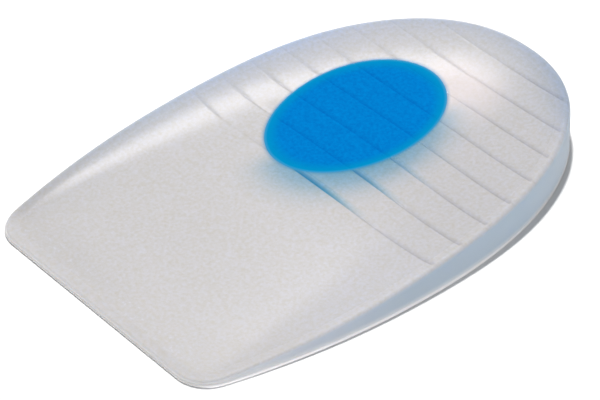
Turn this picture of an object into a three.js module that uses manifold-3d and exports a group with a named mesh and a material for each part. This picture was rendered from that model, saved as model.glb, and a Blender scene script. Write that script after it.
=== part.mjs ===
// Silicone heel cushion that lies inside a shoe: a thin moulded wedge with a straight front edge, a round
// heel, a dished top with a soft rim, shallow channels across its heel half and a softer blue gel spot.
// Millimetres, +Z up. X runs across, +Y points to the back of the heel, and the flat underside lies on Z = 0
// with the origin at the middle of the outline's box.
import * as THREE from "three";
import { mergeVertices } from "three/addons/utils/BufferGeometryUtils.js";
import Module from "manifold-3d";

// Outline of the underside
const LENGTH = 100;
const WIDTH = 67.8;
const WIDEST_Y = -6.4; // the widest place of the outline
const SIDE_RADIUS = 153.6; // bow of each side, from the widest place to the front
const CORNER_RADIUS = 6.6; // rounding of the two front corners
const HEEL_FULLNESS = 2.22; // 2 is a plain elliptical heel, and more is fuller
const OUTLINE_POINTS = 120;

// Sections from the front edge to the heel: the rim's height, how far the wall leans in on its way up, the
// rounding of the rim, and the depth of the dish with the width of the slope that leads down to its floor
const SECTIONS = [
  { y: -50, rim: 1.05, lean: 0.2, round: 0.5, depth: 0.05, slope: 2 },
  { y: -25, rim: 3.05, lean: 0.4, round: 0.7, depth: 0.8, slope: 10.2 },
  { y: 0, rim: 5.2, lean: 0.65, round: 0.9, depth: 1.4, slope: 18.3 },
  { y: 25, rim: 7.3, lean: 0.3, round: 1.0, depth: 2.4, slope: 30 },
  { y: 50, rim: 8.55, lean: 0.2, round: 1.0, depth: 3.1, slope: 33.5 },
];
const DISH_POWER = 3; // how early the slope flattens on its way in: 1 is an even slope, and more is earlier
const ROUND_STEPS = 3;
const ROW_PLACES = [-1, -0.95, -0.87, -0.74, -0.54, -0.32, -0.1, 0.1, 0.32, 0.54, 0.74, 0.87, 0.95, 1];

// Channels pressed across the heel half of the dish
const CHANNEL_COUNT = 8;
const CHANNEL_FIRST_Y = -2.45;
const CHANNEL_PITCH = 6.54;
const CHANNEL_BOW = 1.94; // how much nearer the heel a channel's middle lies than its ends, at most
const BOW_START_Y = -6; // where the bow sets in, and it is gone again at the back of the heel
const CHANNEL_WIDTH = 1.1;
const CHANNEL_FLOOR_WIDTH = 0.5;
const CHANNEL_DEPTH = 0.4;
const CHANNEL_RUN_OUT = 1; // length over which each end slopes up to the surface
const CHANNEL_END = 0.5; // what each end leaves of the top inside the crest of the rim

// Gel spot, an oval plug in a blind pocket that is open at the top
const SPOT = { x: -7.7, y: 15.1, across: 26.1, along: 36.8 };
const POCKET_FLOOR = 1;
const FIT_GAP = 0.3;
const SPOT_POINTS = 60;
const ABOVE_ALL = 12; // a height above every point of the cushion

const SILICONE = { color: 0xd2d1d4, roughness: 0.45, metalness: 0 };
const BLUE_GEL = { color: 0x0081d6, roughness: 0.4, metalness: 0 };

const wasm = await Module();
wasm.setup();

// A section value at any distance along the cushion, on a smooth curve through the table's rows.
const sectionCurves = new Map();
for (const column of ["rim", "lean", "round", "depth", "slope"]) {
  const places = SECTIONS.map((row) => row.y);
  const values = SECTIONS.map((row) => row[column]);
  sectionCurves.set(column, new THREE.CubicInterpolant(places, values, 1));
}

function section(column, y) {
  const inside = THREE.MathUtils.clamp(y, -LENGTH / 2, LENGTH / 2);
  return sectionCurves.get(column).evaluate(inside)[0];
}

// The heel's quarter of the outline, from the widest place of one side to the back of the heel.
class HeelCurve extends THREE.Curve {
  getPoint(t, target = new THREE.Vector2()) {
    const angle = (t * Math.PI) / 2;
    const power = 2 / HEEL_FULLNESS;
    const x = (WIDTH / 2) * Math.max(Math.cos(angle), 0) ** power;
    const y = WIDEST_Y + (LENGTH / 2 - WIDEST_Y) * Math.sin(angle) ** power;
    return target.set(x, y);
  }
}

// One side of the outline from the middle of the front edge to the back of the heel.
function sidePath() {
  const front = -LENGTH / 2;
  const sideX = WIDTH / 2 - SIDE_RADIUS;
  const cornerY = front + CORNER_RADIUS;
  const reach = SIDE_RADIUS - CORNER_RADIUS;
  const cornerX = sideX + Math.sqrt(reach ** 2 - (cornerY - WIDEST_Y) ** 2);
  const meet = Math.atan2(cornerY - WIDEST_Y, cornerX - sideX);
  const path = new THREE.Path();
  path.moveTo(0, front);
  path.lineTo(cornerX, front);
  path.absarc(cornerX, cornerY, CORNER_RADIUS, -Math.PI / 2, meet, false);
  path.absarc(sideX, WIDEST_Y, SIDE_RADIUS, meet, 0, false);
  path.curves.push(new HeelCurve());
  return path;
}

// The points of a counter-clockwise loop moved inwards, each by the distance that the rule gives for it.
function movedIn(loop, distance) {
  const count = loop.length;
  return loop.map((p, i) => {
    const along = new THREE.Vector2().subVectors(loop[(i + 1) % count], loop[(i + count - 1) % count]);
    const inward = new THREE.Vector2(-along.y, along.x).normalize();
    return new THREE.Vector2(p.x, p.y).addScaledVector(inward, distance(p.y));
  });
}

// The crest of the rim in plan, counter-clockwise from the middle of the front edge.
function crestLine() {
  const side = sidePath().getSpacedPoints(OUTLINE_POINTS / 2);
  const otherSide = side.slice(1, -1).reverse();
  const outline = [...side, ...otherSide.map((p) => new THREE.Vector2(-p.x, p.y))];
  return movedIn(outline, (y) => section("lean", y) + section("round", y));
}

const crest = crestLine();
const crestSide = crest.slice(0, OUTLINE_POINTS / 2 + 1);

// Distance of a point of the plan from the crest of the rim.
function distanceToRim(point) {
  const place = new THREE.Vector3(point.x, point.y, 0);
  const stretch = new THREE.Line3();
  const foot = new THREE.Vector3();
  let nearest = Infinity;
  crest.forEach((p, i) => {
    const next = crest[(i + 1) % crest.length];
    stretch.start.set(p.x, p.y, 0);
    stretch.end.set(next.x, next.y, 0);
    stretch.closestPointToPoint(place, true, foot);
    nearest = Math.min(nearest, foot.distanceTo(place));
  });
  return nearest;
}

// Half the width between the crests at a distance along the cushion.
function crestHalfWidth(y) {
  const above = crestSide.findIndex((p) => p.y > y);
  if (above < 0) return 0;
  const low = crestSide[above - 1];
  const high = crestSide[above];
  return THREE.MathUtils.mapLinear(y, low.y, high.y, low.x, high.x);
}

// How far the channels lower the surface at a point: a flat floor with sloping sides and ends.
function channelDepth({ x, y }) {
  const last = CHANNEL_COUNT - 1;
  const nearest = THREE.MathUtils.clamp(Math.round((y - CHANNEL_FIRST_Y) / CHANNEL_PITCH), 0, last);
  const fromMiddle = Math.abs(y - CHANNEL_FIRST_Y - nearest * CHANNEL_PITCH);
  const fromEnd = crestHalfWidth(y) - CHANNEL_END - Math.abs(x);
  const sideSlope = (CHANNEL_WIDTH / 2 - fromMiddle) / (CHANNEL_WIDTH / 2 - CHANNEL_FLOOR_WIDTH / 2);
  const share = THREE.MathUtils.clamp(Math.min(sideSlope, fromEnd / CHANNEL_RUN_OUT), 0, 1);
  return CHANNEL_DEPTH * share;
}

// Height of the dished top: level with the rim at its crest, then down a slope that flattens into the floor.
function dishHeight(point) {
  const reach = Math.min(distanceToRim(point) / section("slope", point.y), 1);
  const fall = 1 - (1 - reach) ** DISH_POWER;
  return section("rim", point.y) - section("depth", point.y) * fall;
}

// How far a row of points bows towards the heel at a place across it, from -1 at one rim to 1 at the other.
function rowBow(place, y) {
  const along = THREE.MathUtils.inverseLerp(BOW_START_Y, crestSide.at(-1).y, y);
  return CHANNEL_BOW * 4 * Math.max(along, 0) * (1 - along) * (1 - place ** 2);
}

// Where the rows of points lie along the dish: at the points of the crest outside the channels, and among the
// channels at each one's edges, at its floor and midway to the next.
function rowStations() {
  const channelStart = CHANNEL_FIRST_Y - CHANNEL_PITCH / 2;
  const channelEnd = CHANNEL_FIRST_Y + (CHANNEL_COUNT - 1) * CHANNEL_PITCH + CHANNEL_WIDTH;
  const plain = crestSide.slice(0, -1).map((p) => p.y);
  const front = plain.filter((y, i) => y < channelStart && y > (plain[i - 1] ?? -LENGTH));
  const heel = plain.filter((y) => y > channelEnd);
  const channels = [];
  for (let channel = 0; channel < CHANNEL_COUNT; channel += 1) {
    const middle = CHANNEL_FIRST_Y + channel * CHANNEL_PITCH;
    for (const width of [-CHANNEL_WIDTH, -CHANNEL_FLOOR_WIDTH, CHANNEL_FLOOR_WIDTH, CHANNEL_WIDTH]) {
      channels.push(middle + width / 2);
    }
    if (channel + 1 < CHANNEL_COUNT) channels.push(middle + CHANNEL_PITCH / 2);
  }
  return [...front, ...channels, ...heel];
}

// The cushion without its pocket: rows of points across the dish, and rings that turn over the rim and run
// down the wall to the flat underside.
function cushionGeometry() {
  const points = [];
  const triangles = [];
  const addPoint = (p, z) => points.push(new THREE.Vector3(p.x, p.y, z)) - 1;
  const addQuad = (a, b, c, d) => triangles.push(a, b, c, a, c, d);

  const rows = rowStations().map((y) => {
    return ROW_PLACES.map((place) => {
      const x = place * crestHalfWidth(y);
      const bowed = { x, y: y + rowBow(place, y) };
      return addPoint(bowed, dishHeight(bowed) - channelDepth({ x, y }));
    });
  });
  const heelTip = addPoint(crestSide.at(-1), section("rim", crestSide.at(-1).y));
  for (let r = 0; r + 1 < rows.length; r += 1) {
    for (let i = 0; i + 1 < ROW_PLACES.length; i += 1) {
      addQuad(rows[r][i], rows[r][i + 1], rows[r + 1][i + 1], rows[r + 1][i]);
    }
  }
  const lastRow = rows.at(-1);
  for (let i = 0; i + 1 < ROW_PLACES.length; i += 1) triangles.push(lastRow[i], lastRow[i + 1], heelTip);

  const rightEnds = rows.slice(1).map((row) => row.at(-1));
  const leftEnds = rows.slice(1).map((row) => row[0]);
  let upper = [...rows[0], ...rightEnds, heelTip, ...leftEnds.reverse()];
  const crestLoop = upper.map((index) => points[index]);
  const addRing = (distance, height) => {
    const loop = movedIn(crestLoop, (y) => -distance(y));
    const ring = loop.map((p, i) => addPoint(p, height(crestLoop[i].y)));
    ring.forEach((index, i) => {
      const next = (i + 1) % ring.length;
      addQuad(index, ring[next], upper[next], upper[i]);
    });
    upper = ring;
  };
  for (let step = 1; step <= ROUND_STEPS; step += 1) {
    const turn = ((step / ROUND_STEPS) * Math.PI) / 2;
    addRing(
      (y) => section("round", y) * Math.sin(turn),
      (y) => section("rim", y) - section("round", y) * (1 - Math.cos(turn)),
    );
  }
  addRing((y) => section("lean", y) + section("round", y), () => 0);

  const corner = ROW_PLACES.length - 1;
  const right = upper.slice(corner, corner + rows.length + 1);
  const left = [upper[0], ...upper.slice(corner + rows.length).reverse()];
  for (let i = 0; i < corner; i += 1) triangles.push(upper[i], right[1], upper[i + 1]);
  triangles.push(left[0], left[1], right[1]);
  for (let i = 1; i + 2 < right.length; i += 1) addQuad(left[i], left[i + 1], right[i + 1], right[i]);
  triangles.push(left.at(-2), left.at(-1), right.at(-2));
  return new THREE.BufferGeometry().setFromPoints(points).setIndex(triangles);
}

// An upright oval plug of the spot's outline, drawn in by a gap, from a floor to above the cushion.
function spotPlug(gap, floor) {
  const oval = new THREE.Shape();
  oval.absellipse(SPOT.x, SPOT.y, SPOT.across / 2 - gap, SPOT.along / 2 - gap, 0, Math.PI * 2, false, 0);
  const plug = new THREE.ExtrudeGeometry(oval, {
    curveSegments: SPOT_POINTS / 2,
    depth: ABOVE_ALL - floor,
    bevelEnabled: false,
  });
  return plug.translate(0, 0, floor);
}

function toSolid(geometry) {
  const bare = geometry.clone();
  bare.deleteAttribute("normal");
  bare.deleteAttribute("uv");
  const merged = mergeVertices(bare);
  const triVerts = new Uint32Array(merged.index.array);
  const vertProperties = new Float32Array(merged.getAttribute("position").array);
  return new wasm.Manifold(new wasm.Mesh({ numProp: 3, vertProperties, triVerts }));
}

function toMesh(name, solid, finish) {
  const { vertProperties, triVerts } = solid.getMesh();
  const geometry = new THREE.BufferGeometry();
  geometry.setAttribute("position", new THREE.BufferAttribute(vertProperties, 3));
  geometry.setIndex(new THREE.BufferAttribute(triVerts, 1));
  geometry.computeVertexNormals();
  const mesh = new THREE.Mesh(geometry, new THREE.MeshStandardMaterial(finish));
  mesh.name = name;
  return mesh;
}

const moulding = toSolid(cushionGeometry());
const body = moulding.subtract(toSolid(spotPlug(0, POCKET_FLOOR)));
const spot = moulding.intersect(toSolid(spotPlug(FIT_GAP, POCKET_FLOOR + FIT_GAP)));

const cushion = new THREE.Group();
cushion.add(toMesh("cushion_body", body, SILICONE));
cushion.add(toMesh("soft_spot", spot, BLUE_GEL));

export default cushion;
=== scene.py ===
import math

import bmesh
import bpy
import numpy as np
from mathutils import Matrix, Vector


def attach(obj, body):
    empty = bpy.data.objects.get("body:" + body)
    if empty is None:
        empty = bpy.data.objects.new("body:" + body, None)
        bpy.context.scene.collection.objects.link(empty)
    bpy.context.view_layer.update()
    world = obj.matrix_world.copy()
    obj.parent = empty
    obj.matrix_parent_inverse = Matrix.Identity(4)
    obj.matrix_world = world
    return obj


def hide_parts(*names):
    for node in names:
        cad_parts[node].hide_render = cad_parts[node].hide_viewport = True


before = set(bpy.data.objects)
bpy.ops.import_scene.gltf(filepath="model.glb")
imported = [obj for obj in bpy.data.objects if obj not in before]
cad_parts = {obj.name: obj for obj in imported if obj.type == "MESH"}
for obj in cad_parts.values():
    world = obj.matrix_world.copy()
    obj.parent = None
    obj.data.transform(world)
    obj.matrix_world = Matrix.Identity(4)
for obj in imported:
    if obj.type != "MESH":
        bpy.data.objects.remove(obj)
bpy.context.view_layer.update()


# ---- Camera -------------------------------------------------------------------------------------
# A long lens looks down on the near long side, with the thin front edge at the lower left and
# the round heel at the upper right. It sits 520 mm off, so the lines hardly converge.
MM = 0.001
VIEW_AZIMUTH = math.radians(49.663)
VIEW_ELEVATION = math.radians(38.265)
VIEW_DISTANCE = 519.2 * MM
VIEW_TARGET = Vector((-0.203, -4.389, 0)) * MM
LENS = 178.83
SENSOR = 36

towards_camera = Vector(
    (
        math.sin(VIEW_AZIMUTH) * math.cos(VIEW_ELEVATION),
        -math.cos(VIEW_AZIMUTH) * math.cos(VIEW_ELEVATION),
        math.sin(VIEW_ELEVATION),
    )
)
lens = bpy.data.cameras.new("camera")
lens.lens = LENS
lens.sensor_width = SENSOR
lens.clip_start = 0.01
camera = bpy.data.objects.new("camera", lens)
camera.location = VIEW_TARGET + towards_camera * VIEW_DISTANCE
camera.rotation_euler = towards_camera.to_track_quat("Z", "Y").to_euler()
bpy.context.scene.collection.objects.link(camera)
bpy.context.scene.camera = camera


# ---- Cushion ------------------------------------------------------------------------------------
# The wedge of milky silicone that goes under the heel: poured in an open mould, so its underside
# is flat. Its dished top has a soft rim and eight shallow channels, and the blue gel is cast into
# an oval pocket in it.
LENGTH = 100
WIDTH = 67.8
WIDEST_Y = -6.4
SIDE_RADIUS = 153.6
CORNER_RADIUS = 6.6
HEEL_FULLNESS = 2.22
SECTION_STEP = 25
SECTIONS = {
    "rim": (1.05, 3.05, 5.2, 7.3, 8.55),
    "lean": (0.2, 0.4, 0.65, 0.3, 0.2),
    "round": (0.5, 0.7, 0.9, 1.0, 1.0),
    "depth": (0.05, 0.8, 1.4, 2.4, 3.1),
    "slope": (2, 10.2, 18.3, 30, 33.5),
    "foot": (0.4, 0.15, 0.15, 0.15, 0.15),
}
DISH_POWER = 3
CHANNEL_COUNT = 8
CHANNEL_FIRST_Y = -3
CHANNEL_PITCH = 6.54
CHANNEL_BOW = 1.94
BOW_START_Y = -6
CHANNEL_DEPTH = 0.04
CHANNEL_STEP = 0.2
CHANNEL_RAMP = 1
CHANNEL_SHADE_STEP = 0.12
CHANNEL_SHADE_RAMP = 1.3
CHANNEL_RUN_OUT = 0.6
CHANNEL_END = 0.1
CHANNEL_CAP = 0.45
CHANNEL_CAP_SHADE = 0.7
CHANNEL_ROWS = (-0.45, -0.2, -0.16, -0.12, -0.06, 0, 0.06, 0.15, 0.28, 0.42)
CHANNEL_ROWS += (0.56, 0.7, 0.85, 1, 1.3, 1.6, 2.8, 4, 5.2)
CORNER_ROWS, CORNER_ROWS_LENGTH = 12, 6.3
FRONT_ROW_STEP = 1.8
HEEL_ROWS = 9
COLUMNS = 112
ROUND_STEPS = 6
WALL_STEPS = 5
FOOT_STEPS = 3
UNDERSIDE_INSET = 0.3
SPOT_X, SPOT_Y = -7.7, 15.1
SPOT_ACROSS, SPOT_ALONG = 26.1, 36.8
SPOT_POINTS = 160
POCKET_FLOOR = 1
ABOVE_ALL = 12
SHARP_ANGLE = math.radians(50)
SILICONE_IOR = 1.41
EDGE_REACH = 3.2
HEEL_HIGHLIGHT_MIDDLE = (-1, 32, 5)
FLANK_SHIFT = 4.5
FLANK_X, FLANK_Y = 0.76, -0.65
FLANK_SIDE = (0.9, -0.44, 0)


def section(column, y):
    """A size of the cushion's cross-section at y, on a smooth curve through the given sections."""
    sizes = SECTIONS[column]
    ends = (2 * sizes[0] - sizes[1], *sizes, 2 * sizes[-1] - sizes[-2])
    place = min(max((y + LENGTH / 2) / SECTION_STEP, 0), len(sizes) - 1)
    first = min(int(place), len(sizes) - 2)
    t = place - first
    a, b, c, d = ends[first : first + 4]
    return b + 0.5 * t * (c - a + t * (2 * a - 5 * b + 4 * c - d + t * (3 * (b - c) + d - a)))


def side_outline():
    """The foot of the wall on the +X side, from the front corner round to the heel's tip."""
    side_x = WIDTH / 2 - SIDE_RADIUS
    corner_y = CORNER_RADIUS - LENGTH / 2
    drop = corner_y - WIDEST_Y
    corner_x = side_x + math.sqrt((SIDE_RADIUS - CORNER_RADIUS) ** 2 - drop**2)
    meet = math.atan2(drop, corner_x - side_x)
    corner = np.linspace(-math.pi / 2, meet, 60)
    side = np.linspace(meet, 0, 120)[1:]
    heel = np.linspace(0, math.pi / 2, 240)[1:]
    power = 2 / HEEL_FULLNESS
    x = np.concatenate(
        (
            corner_x + CORNER_RADIUS * np.cos(corner),
            side_x + SIDE_RADIUS * np.cos(side),
            WIDTH / 2 * np.abs(np.cos(heel)) ** power,
        )
    )
    y = np.concatenate(
        (
            corner_y + CORNER_RADIUS * np.sin(corner),
            WIDEST_Y + SIDE_RADIUS * np.sin(side),
            WIDEST_Y + (LENGTH / 2 - WIDEST_Y) * np.sin(heel) ** power,
        )
    )
    x[-1] = 0
    return x, y


foot_x, foot_y = side_outline()
run_x, run_y = np.gradient(foot_x), np.gradient(foot_y)
run_x[0], run_y[0], run_x[-1], run_y[-1] = 1, 0, -1, 0
run = np.hypot(run_x, run_y)
inset = np.array([section("lean", y) + section("round", y) for y in foot_y])
crest_x = np.maximum(foot_x - inset * run_y / run, 0)
crest_y = foot_y + inset * run_x / run
loop = np.concatenate(
    (np.column_stack((crest_x, crest_y)), np.column_stack((-crest_x, crest_y))[::-1][1:])
)
loop_run = np.roll(loop, -1, axis=0) - loop
loop_length = np.maximum((loop_run**2).sum(1), 1e-12)


def from_crest(x, y):
    """The distance in from the crest of the rim."""
    away = np.array((x, y)) - loop
    along = np.clip((away * loop_run).sum(1) / loop_length, 0, 1)
    return float(np.hypot(*(away - along[:, None] * loop_run).T).min())


def past_line(y, ahead):
    """How far y is past its channel's front line, where a channel starts a little ahead of it."""
    k = math.floor((y - CHANNEL_FIRST_Y + ahead) / CHANNEL_PITCH)
    return y - CHANNEL_FIRST_Y - min(max(k, 0), CHANNEL_COUNT - 1) * CHANNEL_PITCH


def channel_shape(y, inside, step, fall):
    """How deep in a channel: up to 1 over a step before its front line, then a fall back to 0."""
    past = past_line(y, step)
    if not -step < past < fall:
        return 0
    across = 1 + past / step if past < 0 else (1 - past / fall) ** 1.8
    return across * math.sqrt(min(max((inside - CHANNEL_END) / CHANNEL_RUN_OUT, 0), 1))


def channel_cap(y, inside):
    """How much painted shade the round end of a channel gets, close to the crest."""
    across = (past_line(y, 0) - CHANNEL_CAP) / CHANNEL_CAP
    along = (inside - CHANNEL_END - CHANNEL_CAP * (0.6 + 0.4 * across**2)) / CHANNEL_CAP
    if abs(across) > 1 or abs(along) > 1:
        return 0
    return CHANNEL_CAP_SHADE * (1 - along**2) * (1 - max(across, 0) ** 2)


def row_bow(place, y):
    """How far a row bows to the heel at a place across it, from -1 at one rim to 1 at the other."""
    along = (y - BOW_START_Y) / (crest_y[-1] - BOW_START_Y)
    return CHANNEL_BOW * 4 * max(along, 0) * (1 - along) * (1 - place**2)


def dish_height(y, inside):
    """The height of the dished top at a distance in from the crest."""
    across = min(inside / section("slope", y), 1)
    return section("rim", y) - section("depth", y) * (1 - (1 - across) ** DISH_POWER)


corner_rows = [
    crest_y[0] + CORNER_ROWS_LENGTH * (k / CORNER_ROWS) ** 2 for k in range(CORNER_ROWS + 1)
]
front_rows = list(np.arange(corner_rows[-1] + FRONT_ROW_STEP, CHANNEL_FIRST_Y - 1, FRONT_ROW_STEP))
channel_rows = [
    CHANNEL_FIRST_Y + k * CHANNEL_PITCH + past
    for k in range(CHANNEL_COUNT)
    for past in CHANNEL_ROWS
    if k < CHANNEL_COUNT - 1 or past < 2
]
heel_left = crest_y[-1] - channel_rows[-1]
heel_rows = [
    channel_rows[-1] + heel_left * (1 - (1 - k / HEEL_ROWS) ** 2) for k in range(1, HEEL_ROWS + 1)
]
rows = corner_rows + front_rows + channel_rows + heel_rows


def carry(bm, edges, place):
    """Draws a ring of edges out once more; place moves each new point, given the way out."""
    made = bmesh.ops.extrude_edge_only(bm, edges=edges)["geom"]
    ring = [e for e in made if isinstance(e, bmesh.types.BMEdge) and e.is_boundary]
    moved = {}
    for vert in {v for e in ring for v in e.verts}:
        a, b = (e.other_vert(vert).co for e in vert.link_edges if e.is_boundary)
        out = Vector((b.y - a.y, a.x - b.x, 0)).normalized()
        if out.dot(vert.co) < 0:
            out.negate()
        moved[vert] = place(vert.co, out)
    for vert, co in moved.items():
        vert.co = co
    return ring


def mould():
    """The whole moulding without its pocket, in metres."""
    bm = bmesh.new()
    bmesh.ops.create_grid(bm, x_segments=COLUMNS, y_segments=len(rows) - 1, size=0.5)
    for vert in bm.verts:
        even = 2 * round((vert.co.x + 0.5) * COLUMNS) / COLUMNS - 1
        place = 0.5 * (even + math.sin(even * math.pi / 2))
        row = rows[round((vert.co.y + 0.5) * (len(rows) - 1))]
        x = place * np.interp(row, crest_y, crest_x)
        y = row + row_bow(place, row)
        inside = from_crest(x, y)
        groove = CHANNEL_DEPTH * channel_shape(row, inside, CHANNEL_STEP, CHANNEL_RAMP)
        vert.co = (x, y, dish_height(y, inside) - groove)
    bmesh.ops.remove_doubles(bm, verts=bm.verts, dist=0.0005)
    ring = [e for e in bm.edges if e.is_boundary]
    for step in range(1, ROUND_STEPS + 1):
        turn, last = (math.pi / 2 * k / ROUND_STEPS for k in (step, step - 1))
        out_by, down_by = math.sin(turn) - math.sin(last), math.cos(last) - math.cos(turn)
        ring = carry(
            bm,
            ring,
            lambda co, out: co + section("round", co.y) * (out * out_by - Vector((0, 0, down_by))),
        )
    for step in range(WALL_STEPS):
        left = WALL_STEPS - step
        ring = carry(
            bm,
            ring,
            lambda co, out: co
            + out * section("lean", co.y) / WALL_STEPS
            - Vector((0, 0, (co.z - section("foot", co.y)) / left)),
        )
    for step in range(1, FOOT_STEPS + 1):
        turn, last = (math.pi / 2 * k / FOOT_STEPS for k in (step, step - 1))
        in_by, down_by = math.cos(last) - math.cos(turn), math.sin(turn) - math.sin(last)
        ring = carry(
            bm,
            ring,
            lambda co, out: co - section("foot", co.y) * (out * in_by + Vector((0, 0, down_by))),
        )
    underside = bmesh.ops.holes_fill(bm, edges=ring, sides=0)["faces"]
    bmesh.ops.inset_region(bm, faces=underside, thickness=UNDERSIDE_INSET, use_even_offset=True)
    bmesh.ops.recalc_face_normals(bm, faces=bm.faces)
    bmesh.ops.scale(bm, vec=(MM, MM, MM), verts=bm.verts)
    mesh = bpy.data.meshes.new("moulding")
    bm.to_mesh(mesh)
    bm.free()
    return mesh


def oval(grow):
    """The oval that the pocket is cut with, from its floor to above the rim."""
    bm = bmesh.new()
    bmesh.ops.create_circle(bm, cap_ends=True, segments=SPOT_POINTS, radius=0.5)
    made = bmesh.ops.extrude_face_region(bm, geom=bm.faces[:])["geom"]
    top = [v for v in made if isinstance(v, bmesh.types.BMVert)]
    bmesh.ops.translate(bm, vec=(0, 0, ABOVE_ALL), verts=top)
    bmesh.ops.scale(bm, vec=(SPOT_ACROSS + 2 * grow, SPOT_ALONG + 2 * grow, 1), verts=bm.verts)
    bmesh.ops.translate(bm, vec=(SPOT_X, SPOT_Y, POCKET_FLOOR), verts=bm.verts)
    bmesh.ops.recalc_face_normals(bm, faces=bm.faces)
    bmesh.ops.scale(bm, vec=(MM, MM, MM), verts=bm.verts)
    mesh = bpy.data.meshes.new("oval")
    bm.to_mesh(mesh)
    bm.free()
    return mesh


def cut(name, operation, grow):
    """The moulding with the oval taken out of it, or what the oval takes out."""
    cutter = bpy.data.objects.new("cutter", oval(grow))
    piece = bpy.data.objects.new(name, mould())
    for made in (cutter, piece):
        bpy.context.scene.collection.objects.link(made)
    pocket = piece.modifiers.new("pocket", "BOOLEAN")
    pocket.operation = operation
    pocket.object = cutter
    pocket.solver = "EXACT"
    seen = piece.evaluated_get(bpy.context.evaluated_depsgraph_get())
    shape = bpy.data.meshes.new_from_object(seen)
    piece.modifiers.clear()
    piece.data = shape
    bpy.data.objects.remove(cutter)
    shape.shade_smooth()
    shape.set_sharp_from_angle(angle=SHARP_ANGLE)
    return piece


def colour(red, green, blue):
    """A colour given by its screen values."""
    screen = (c / 255 for c in (red, green, blue))
    return (*(c / 12.92 if c < 0.04045 else ((c + 0.055) / 1.055) ** 2.4 for c in screen), 1)


def put(tree, kind, sockets=None, **settings):
    """A shader node with its settings, and its sockets set or linked."""
    node = tree.nodes.new(kind)
    for name, value in settings.items():
        setattr(node, name, value)
    for name, value in (sockets or {}).items():
        if isinstance(value, bpy.types.NodeSocket):
            tree.links.new(value, node.inputs[name])
        else:
            node.inputs[name].default_value = value
    return node


def moulded_skin():
    """The faint clouding and fine matt grain of a poured skin, on the silicone and the gel."""
    group = bpy.data.node_groups.new("moulded_skin", "ShaderNodeTree")
    for name, value in (("Cloud Size", 1500), ("Grain Size", 5000)):
        socket = group.interface.new_socket(
            name=name, in_out="INPUT", socket_type="NodeSocketFloat"
        )
        socket.default_value = value
    for name in ("Cloud", "Grain"):
        group.interface.new_socket(name=name, in_out="OUTPUT", socket_type="NodeSocketFloat")
    given = put(group, "NodeGroupInput").outputs
    place = put(group, "ShaderNodeTexCoord").outputs["Object"]
    cloud = put(
        group,
        "ShaderNodeTexNoise",
        {"Vector": place, "Scale": given["Cloud Size"], "Detail": 4, "Roughness": 0.6},
    )
    grain = put(
        group,
        "ShaderNodeTexNoise",
        {"Vector": place, "Scale": given["Grain Size"], "Detail": 2, "Roughness": 0.5},
    )
    result = put(group, "NodeGroupOutput")
    group.links.new(cloud.outputs["Fac"], result.inputs["Cloud"])
    group.links.new(grain.outputs["Fac"], result.inputs["Grain"])
    return group


skin = moulded_skin()


def ease(tree, value, start, end, top=1):
    """0 at start, rising smoothly to top at end."""
    sockets = {"Value": value, "From Min": start, "From Max": end, "To Max": top}
    return put(tree, "ShaderNodeMapRange", sockets, interpolation_type="SMOOTHSTEP").outputs[0]


def math_node(tree, operation, *values):
    return put(tree, "ShaderNodeMath", dict(enumerate(values)), operation=operation).outputs[0]


def vector_node(tree, operation, *values):
    sockets = dict(enumerate(values))
    return put(tree, "ShaderNodeVectorMath", sockets, operation=operation).outputs


def both(tree, *masks):
    """What is left where all the masks are."""
    left = masks[0]
    for mask in masks[1:]:
        left = math_node(tree, "MULTIPLY", left, mask)
    return left


def blend(tree, share, under, over, blend_type="MIX"):
    """One colour over another by a share, or with MULTIPLY the first one darkened by the second."""
    sockets = {0: share, 6: under, 7: over}
    settings = {"data_type": "RGBA", "blend_type": blend_type}
    return put(tree, "ShaderNodeMix", sockets, **settings).outputs[2]


def ramp(tree, value, stops):
    """A colour that runs through the given stops; a plain number stands for a grey."""
    node = put(tree, "ShaderNodeValToRGB", {"Fac": value})
    elements = node.color_ramp.elements
    while len(elements) < len(stops):
        elements.new(0.5)
    for element, (position, tone) in zip(elements, stops):
        element.position = position
        element.color = tone if isinstance(tone, tuple) else (tone, tone, tone, 1)
    return node.outputs[0]


def over_spot(tree, shift_x, shift_y):
    """A point's place on the oval, moved by a shift, with the oval's edge at a length of 1."""
    place = put(tree, "ShaderNodeTexCoord").outputs["Object"]
    middle = ((SPOT_X + shift_x) * MM, (SPOT_Y + shift_y) * MM, 0)
    scale = (2 / SPOT_ACROSS / MM, 2 / SPOT_ALONG / MM, 0)
    off = vector_node(tree, "SUBTRACT", place, middle)[0]
    return vector_node(tree, "MULTIPLY", off, scale)[0]


def surface_of(tree, shader, rough_low, rough_high, duller=0):
    """The poured skin's roughness and fine grain on a shader; gives back its clouding."""
    outputs = put(tree, "ShaderNodeGroup", node_tree=skin).outputs
    cloud = {"Value": outputs["Cloud"], "From Min": 0.3, "From Max": 0.7}
    spread = {"To Min": rough_low, "To Max": rough_high}
    rough = put(tree, "ShaderNodeMapRange", {**cloud, **spread}).outputs[0]
    tree.links.new(math_node(tree, "ADD", rough, duller), shader.inputs["Roughness"])
    grain = {"Strength": 0.15, "Distance": 0.00004, "Height": outputs["Grain"]}
    bump = put(tree, "ShaderNodeBump", grain)
    tree.links.new(bump.outputs[0], shader.inputs["Normal"])
    return outputs["Cloud"]


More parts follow.
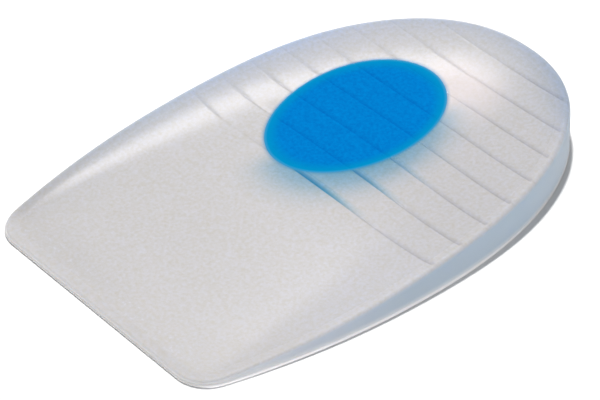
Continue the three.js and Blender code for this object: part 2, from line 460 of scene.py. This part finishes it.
def silicone():
    """The milky silicone, with painted light and shade in its tone, and the gel's blue light
    painted beside it.
    """
    finish = bpy.data.materials.new("milky_silicone")
    finish.use_nodes = True
    tree = finish.node_tree
    shader = tree.nodes["Principled BSDF"]
    shader.inputs["IOR"].default_value = SILICONE_IOR
    shader.inputs["Subsurface Weight"].default_value = 0.35
    shader.inputs["Subsurface Radius"].default_value = (0.7, 0.9, 1.2)
    shader.inputs["Subsurface Scale"].default_value = 0.0025
    shader.inputs["Emission Strength"].default_value = 1

    # Where a point is, in metres: along the cushion, close to the rim, in a channel.
    point = put(tree, "ShaderNodeTexCoord").outputs["Object"]
    x, y, z = (put(tree, "ShaderNodeSeparateXYZ", {0: point}).outputs[axis] for axis in "XYZ")
    ends = {"Value": y, "From Min": -LENGTH / 2 * MM, "From Max": LENGTH / 2 * MM}
    lengthwise = put(tree, "ShaderNodeMapRange", ends).outputs[0]
    edge = put(tree, "ShaderNodeAttribute", attribute_name="edge").outputs["Fac"]
    groove = put(tree, "ShaderNodeAttribute", attribute_name="channel").outputs["Fac"]

    # The flank of the gel, where its blue light shows through the silicone, painted on and running
    # furthest in the channels.
    flank = over_spot(tree, FLANK_SHIFT * FLANK_X, FLANK_SHIFT * FLANK_Y)
    reach = vector_node(tree, "LENGTH", flank)["Value"]
    side = vector_node(tree, "DOT_PRODUCT", flank, FLANK_SIDE)["Value"]
    facing = ease(tree, side, -0.2, 0.25)
    wide_groove = math_node(tree, "POWER", groove, 0.5)
    front_channels = ease(tree, y, 0.026, -0.004)
    blue_light_in_channels = both(tree, ease(tree, reach, 1.75, 0.9), wide_groove, facing, front_channels)

    # The skin is duller at both ends, on the rim and where the gel's blue light is painted in the
    # channels.
    dull_front = ease(tree, y, -0.03, -0.046, 0.1)
    dull_heel = ease(tree, y, 0.034, 0.043, 0.05)
    dull_edge = ease(tree, edge, 0.5, 0.95, 0.6)
    dull_ends = math_node(tree, "ADD", dull_front, dull_heel)
    dull_rim = math_node(tree, "ADD", dull_ends, dull_edge)
    duller = math_node(tree, "MULTIPLY_ADD", blue_light_in_channels, 0.4, dull_rim)
    cloud = surface_of(tree, shader, 0.14, 0.18, duller)

    # The body: painted light along the near side, painted shade over the near half towards the
    # heel, and a painted highlight behind the gel.
    tint = ramp(tree, cloud, ((0.3, colour(191, 188, 183)), (0.7, colour(200, 200, 207))))
    middle = both(tree, ease(tree, y, -0.04, -0.02), ease(tree, y, 0.008, -0.012))
    painted_light_near_side = both(tree, ease(tree, x, 0.01, 0.03), middle)
    lit = blend(tree, painted_light_near_side, tint, (1.02, 1.03, 1.06, 1), "MULTIPLY")
    shade_near_heel = both(tree, ease(tree, y, -0.02, 0.02), ease(tree, x, -0.006, 0.014))
    heel_half_shaded = blend(tree, shade_near_heel, lit, (0.935, 0.94, 0.955, 1), "MULTIPLY")
    # A painted highlight round the middle of the heel.
    heel_highlight_middle = [c * MM for c in HEEL_HIGHLIGHT_MIDDLE]
    from_heel_highlight = vector_node(tree, "DISTANCE", point, heel_highlight_middle)["Value"]
    heel_highlighted = blend(tree, ease(tree, from_heel_highlight, 0.013, 0.002, 0.42), heel_half_shaded, colour(246, 232, 232))

    # The painted shade in the channels, which is faint on the far slope.
    off_far = ease(tree, math_node(tree, "MULTIPLY_ADD", y, -0.35, x), -0.018, -0.006)
    shaded = both(tree, groove, math_node(tree, "MULTIPLY_ADD", off_far, 0.9, 0.1))
    channel_shaded = blend(tree, shaded, heel_highlighted, (0.77, 0.77, 0.8, 1), "MULTIPLY")

    # The rim: painted shade, grey at the front and bluer along the far side, and darker round the
    # near heel.
    rim_shade = ramp(
        tree,
        lengthwise,
        (
            (0.06, (0.76, 0.76, 0.76, 1)),
            (0.4, (0.77, 0.86, 0.98, 1)),
            (0.7, (0.74, 0.87, 1.1, 1)),
            (0.82, (0.82, 0.9, 1.04, 1)),
            (0.95, (0.8, 0.87, 0.98, 1)),
        ),
    )
    far_side = both(tree, ease(tree, x, 0.012, -0.016), ease(tree, y, -0.049, -0.043))
    heel = ease(tree, y, 0.03, 0.046)
    far_rim_shading = both(tree, edge, math_node(tree, "MAXIMUM", far_side, heel))
    rim_shaded = blend(tree, far_rim_shading, channel_shaded, rim_shade, "MULTIPLY")
    near_heel_shading = both(tree, edge, heel, ease(tree, x, -0.012, 0.014))
    heel_rim_shaded = blend(tree, near_heel_shading, rim_shaded, (0.78, 0.84, 0.9, 1), "MULTIPLY")

    # The blue: the gel's light painted as a halo that fades out on the flank and runs in the
    # channels, and a line round the gel.
    outside = {"Value": reach, "From Min": 0.69, "From Max": 1.41}
    halo = ramp(
        tree,
        put(tree, "ShaderNodeMapRange", outside).outputs[0],
        (
            (0, 1.0),
            (0.19, 0.76),
            (0.33, 0.64),
            (0.475, 0.42),
            (0.57, 0.28),
            (0.67, 0.17),
            (0.76, 0.1),
            (0.9, 0.03),
            (1, 0.0),
        ),
    )
    with_blue_halo = blend(tree, both(tree, halo, facing), heel_rim_shaded, (0.2, 0.57, 0.82, 1), "MULTIPLY")
    channel_blue_lit = blend(tree, blue_light_in_channels, with_blue_halo, (0.08, 0.66, 0.95, 1), "MULTIPLY")
    around = vector_node(tree, "LENGTH", over_spot(tree, 0, 0))["Value"]
    blued = blend(tree, ease(tree, around, 1.05, 0.98, 0.75), channel_blue_lit, colour(40, 145, 200))

    # The wall: painted shade makes it bluer than the top and lighter towards the front, with
    # painted light on a nearly white foot.
    normal = put(tree, "ShaderNodeNewGeometry").outputs["Normal"]
    upright = put(tree, "ShaderNodeSeparateXYZ", {0: normal}).outputs["Z"]
    wall = ease(tree, upright, 0.9, 0.25)
    wall_shade = ramp(
        tree,
        lengthwise,
        (
            (0, colour(240, 240, 246)),
            (0.2, colour(210, 216, 226)),
            (0.4, colour(194, 208, 222)),
            (0.7, colour(193, 209, 224)),
            (0.85, colour(200, 212, 225)),
        ),
    )
    wall_shade_and_foot_light = blend(tree, ease(tree, z, 0.0016, 0.0001), wall_shade, colour(252, 252, 254))
    tree.links.new(blend(tree, wall, blued, wall_shade_and_foot_light), shader.inputs["Base Color"])

    # A painted glow stands for the light that has come through the silicone and leaves it in a thin
    # line just above the foot.
    glow = ramp(
        tree,
        lengthwise,
        (
            (0.01, 0.0),
            (0.03, (0.3, 0.3, 0.32, 1)),
            (0.2, (0.26, 0.26, 0.28, 1)),
            (0.35, (0.2, 0.2, 0.22, 1)),
            (0.65, (0.16, 0.16, 0.17, 1)),
            (0.82, 0.0),
        ),
    )
    foot_line = both(tree, ease(tree, z, 0.0007, 0.0004), ease(tree, z, 0, 0.0002))
    glowing = blend(tree, foot_line, (0, 0, 0, 1), glow)
    tree.links.new(glowing, shader.inputs["Emission Color"])
    return finish


def mark(mesh):
    """Writes on each point how close it is to the rim, and how much painted shade a channel puts on
    it.
    """
    edge = mesh.attributes.new("edge", "FLOAT", "POINT").data
    channel = mesh.attributes.new("channel", "FLOAT", "POINT").data
    for i, vert in enumerate(mesh.vertices):
        x, y = vert.co.x / MM, vert.co.y / MM
        half = np.interp(y, crest_y, crest_x, left=0, right=0)
        inside = from_crest(x, y) if abs(x) < half else 0
        row = y
        for _ in range(4 if inside else 0):
            row = y - row_bow(x / max(np.interp(row, crest_y, crest_x), abs(x)), row)
        edge[i].value = math.exp(-inside / EDGE_REACH)
        line = channel_shape(row, inside, CHANNEL_SHADE_STEP, CHANNEL_SHADE_RAMP)
        channel[i].value = max(line, channel_cap(row, inside))


cushion = cut("silicone_cushion", "DIFFERENCE", 0)
cushion.data.materials.clear()
cushion.data.materials.append(silicone())
mark(cushion.data)
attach(cushion, "root")
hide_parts("cushion_body")


# ---- Gel spot -----------------------------------------------------------------------------------
# The oval plug of softer blue gel under the sore point of the heel: poured into the pocket, so it
# fills it and its top follows the dish, with the channels running on over it.
GEL_FIT = -0.01


def gel():
    """The blue gel, a little paler towards its edge, with painted shade in the channels."""
    finish = bpy.data.materials.new("blue_gel")
    finish.use_nodes = True
    tree = finish.node_tree
    shader = tree.nodes["Principled BSDF"]
    shader.inputs["IOR"].default_value = SILICONE_IOR
    shader.inputs["Specular IOR Level"].default_value = 0.01
    cloud = surface_of(tree, shader, 0.4, 0.5)
    tint = ramp(tree, cloud, ((0.3, colour(0, 109, 186)), (0.7, colour(0, 126, 201))))
    groove = put(tree, "ShaderNodeAttribute", attribute_name="channel").outputs["Fac"]
    channel_shaded = blend(tree, groove, tint, (0.76, 0.82, 0.9, 1), "MULTIPLY")
    reach = vector_node(tree, "LENGTH", over_spot(tree, 0, 0))["Value"]
    paler = blend(tree, ease(tree, reach, 0.8, 1), channel_shaded, colour(0, 136, 188))
    soft = blend(tree, ease(tree, reach, 0.96, 1.005, 0.4), paler, colour(90, 160, 200))
    tree.links.new(soft, shader.inputs["Base Color"])
    return finish


spot = cut("gel_spot", "INTERSECT", GEL_FIT)
spot.data.materials.clear()
spot.data.materials.append(gel())
mark(spot.data)
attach(spot, "root")
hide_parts("soft_spot")


# ---- Floor and light ----------------------------------------------------------------------------
# A plain white sheet of card in an even pale room. A softbox behind the far side gives the bright
# band on the dish, a small one overhead lights the card and casts the thin shadow, and a low one
# at the near side fills the wall.
FLOOR_HALF = 3
LIGHT_DISTANCE = 1.2
SHEEN_FROM = Vector((-0.5073, 0.3886, 0.7676))
SHEEN_SIZE = (0.189, 0.136)
SHEEN_POWER = 0.8
OVERHEAD_FROM = Vector((-0.26, 0.14, 1))
OVERHEAD_SIZE = (0.09, 0.09)
OVERHEAD_POWER = 14.3
FILL_FROM = Vector((0.88, -0.45, 0.14))
FILL_SIZE = (0.6, 0.2)
FILL_POWER = 2.2
ROOM_STRENGTH = 0.2

bm = bmesh.new()
bmesh.ops.create_grid(bm, x_segments=1, y_segments=1, size=FLOOR_HALF)
card = bpy.data.meshes.new("card")
bm.to_mesh(card)
bm.free()
floor = bpy.data.objects.new("floor", card)
bpy.context.scene.collection.objects.link(floor)
white = bpy.data.materials.new("white_card")
white.use_nodes = True
matt = white.node_tree.nodes["Principled BSDF"]
matt.inputs["Base Color"].default_value = (0.93, 0.93, 0.93, 1)
matt.inputs["Roughness"].default_value = 0.9
card.materials.append(white)


def softbox(name, source, size, power, tone):
    """A lamp in the direction of source, facing the middle of the cushion's base."""
    lamp = bpy.data.lights.new(name, "AREA")
    lamp.shape = "RECTANGLE"
    lamp.size, lamp.size_y = size
    lamp.energy = power
    lamp.color = tone
    box = bpy.data.objects.new(name, lamp)
    box.location = source.normalized() * LIGHT_DISTANCE
    box.rotation_euler = source.to_track_quat("Z", "Y").to_euler()
    bpy.context.scene.collection.objects.link(box)
    return box


softbox("sheen", SHEEN_FROM, SHEEN_SIZE, SHEEN_POWER, (1, 0.96, 0.96))
overhead = softbox("overhead", OVERHEAD_FROM, OVERHEAD_SIZE, OVERHEAD_POWER, (1, 0.985, 0.97))
overhead.visible_glossy = False
softbox("fill", FILL_FROM, FILL_SIZE, FILL_POWER, (0.97, 0.985, 1))

room = bpy.data.worlds.new("room")
room.use_nodes = True
backdrop = room.node_tree.nodes["Background"]
backdrop.inputs["Color"].default_value = (0.95, 0.98, 1, 1)
backdrop.inputs["Strength"].default_value = ROOM_STRENGTH
bpy.context.scene.world = room
bpy.context.scene.view_settings.view_transform = "Standard"
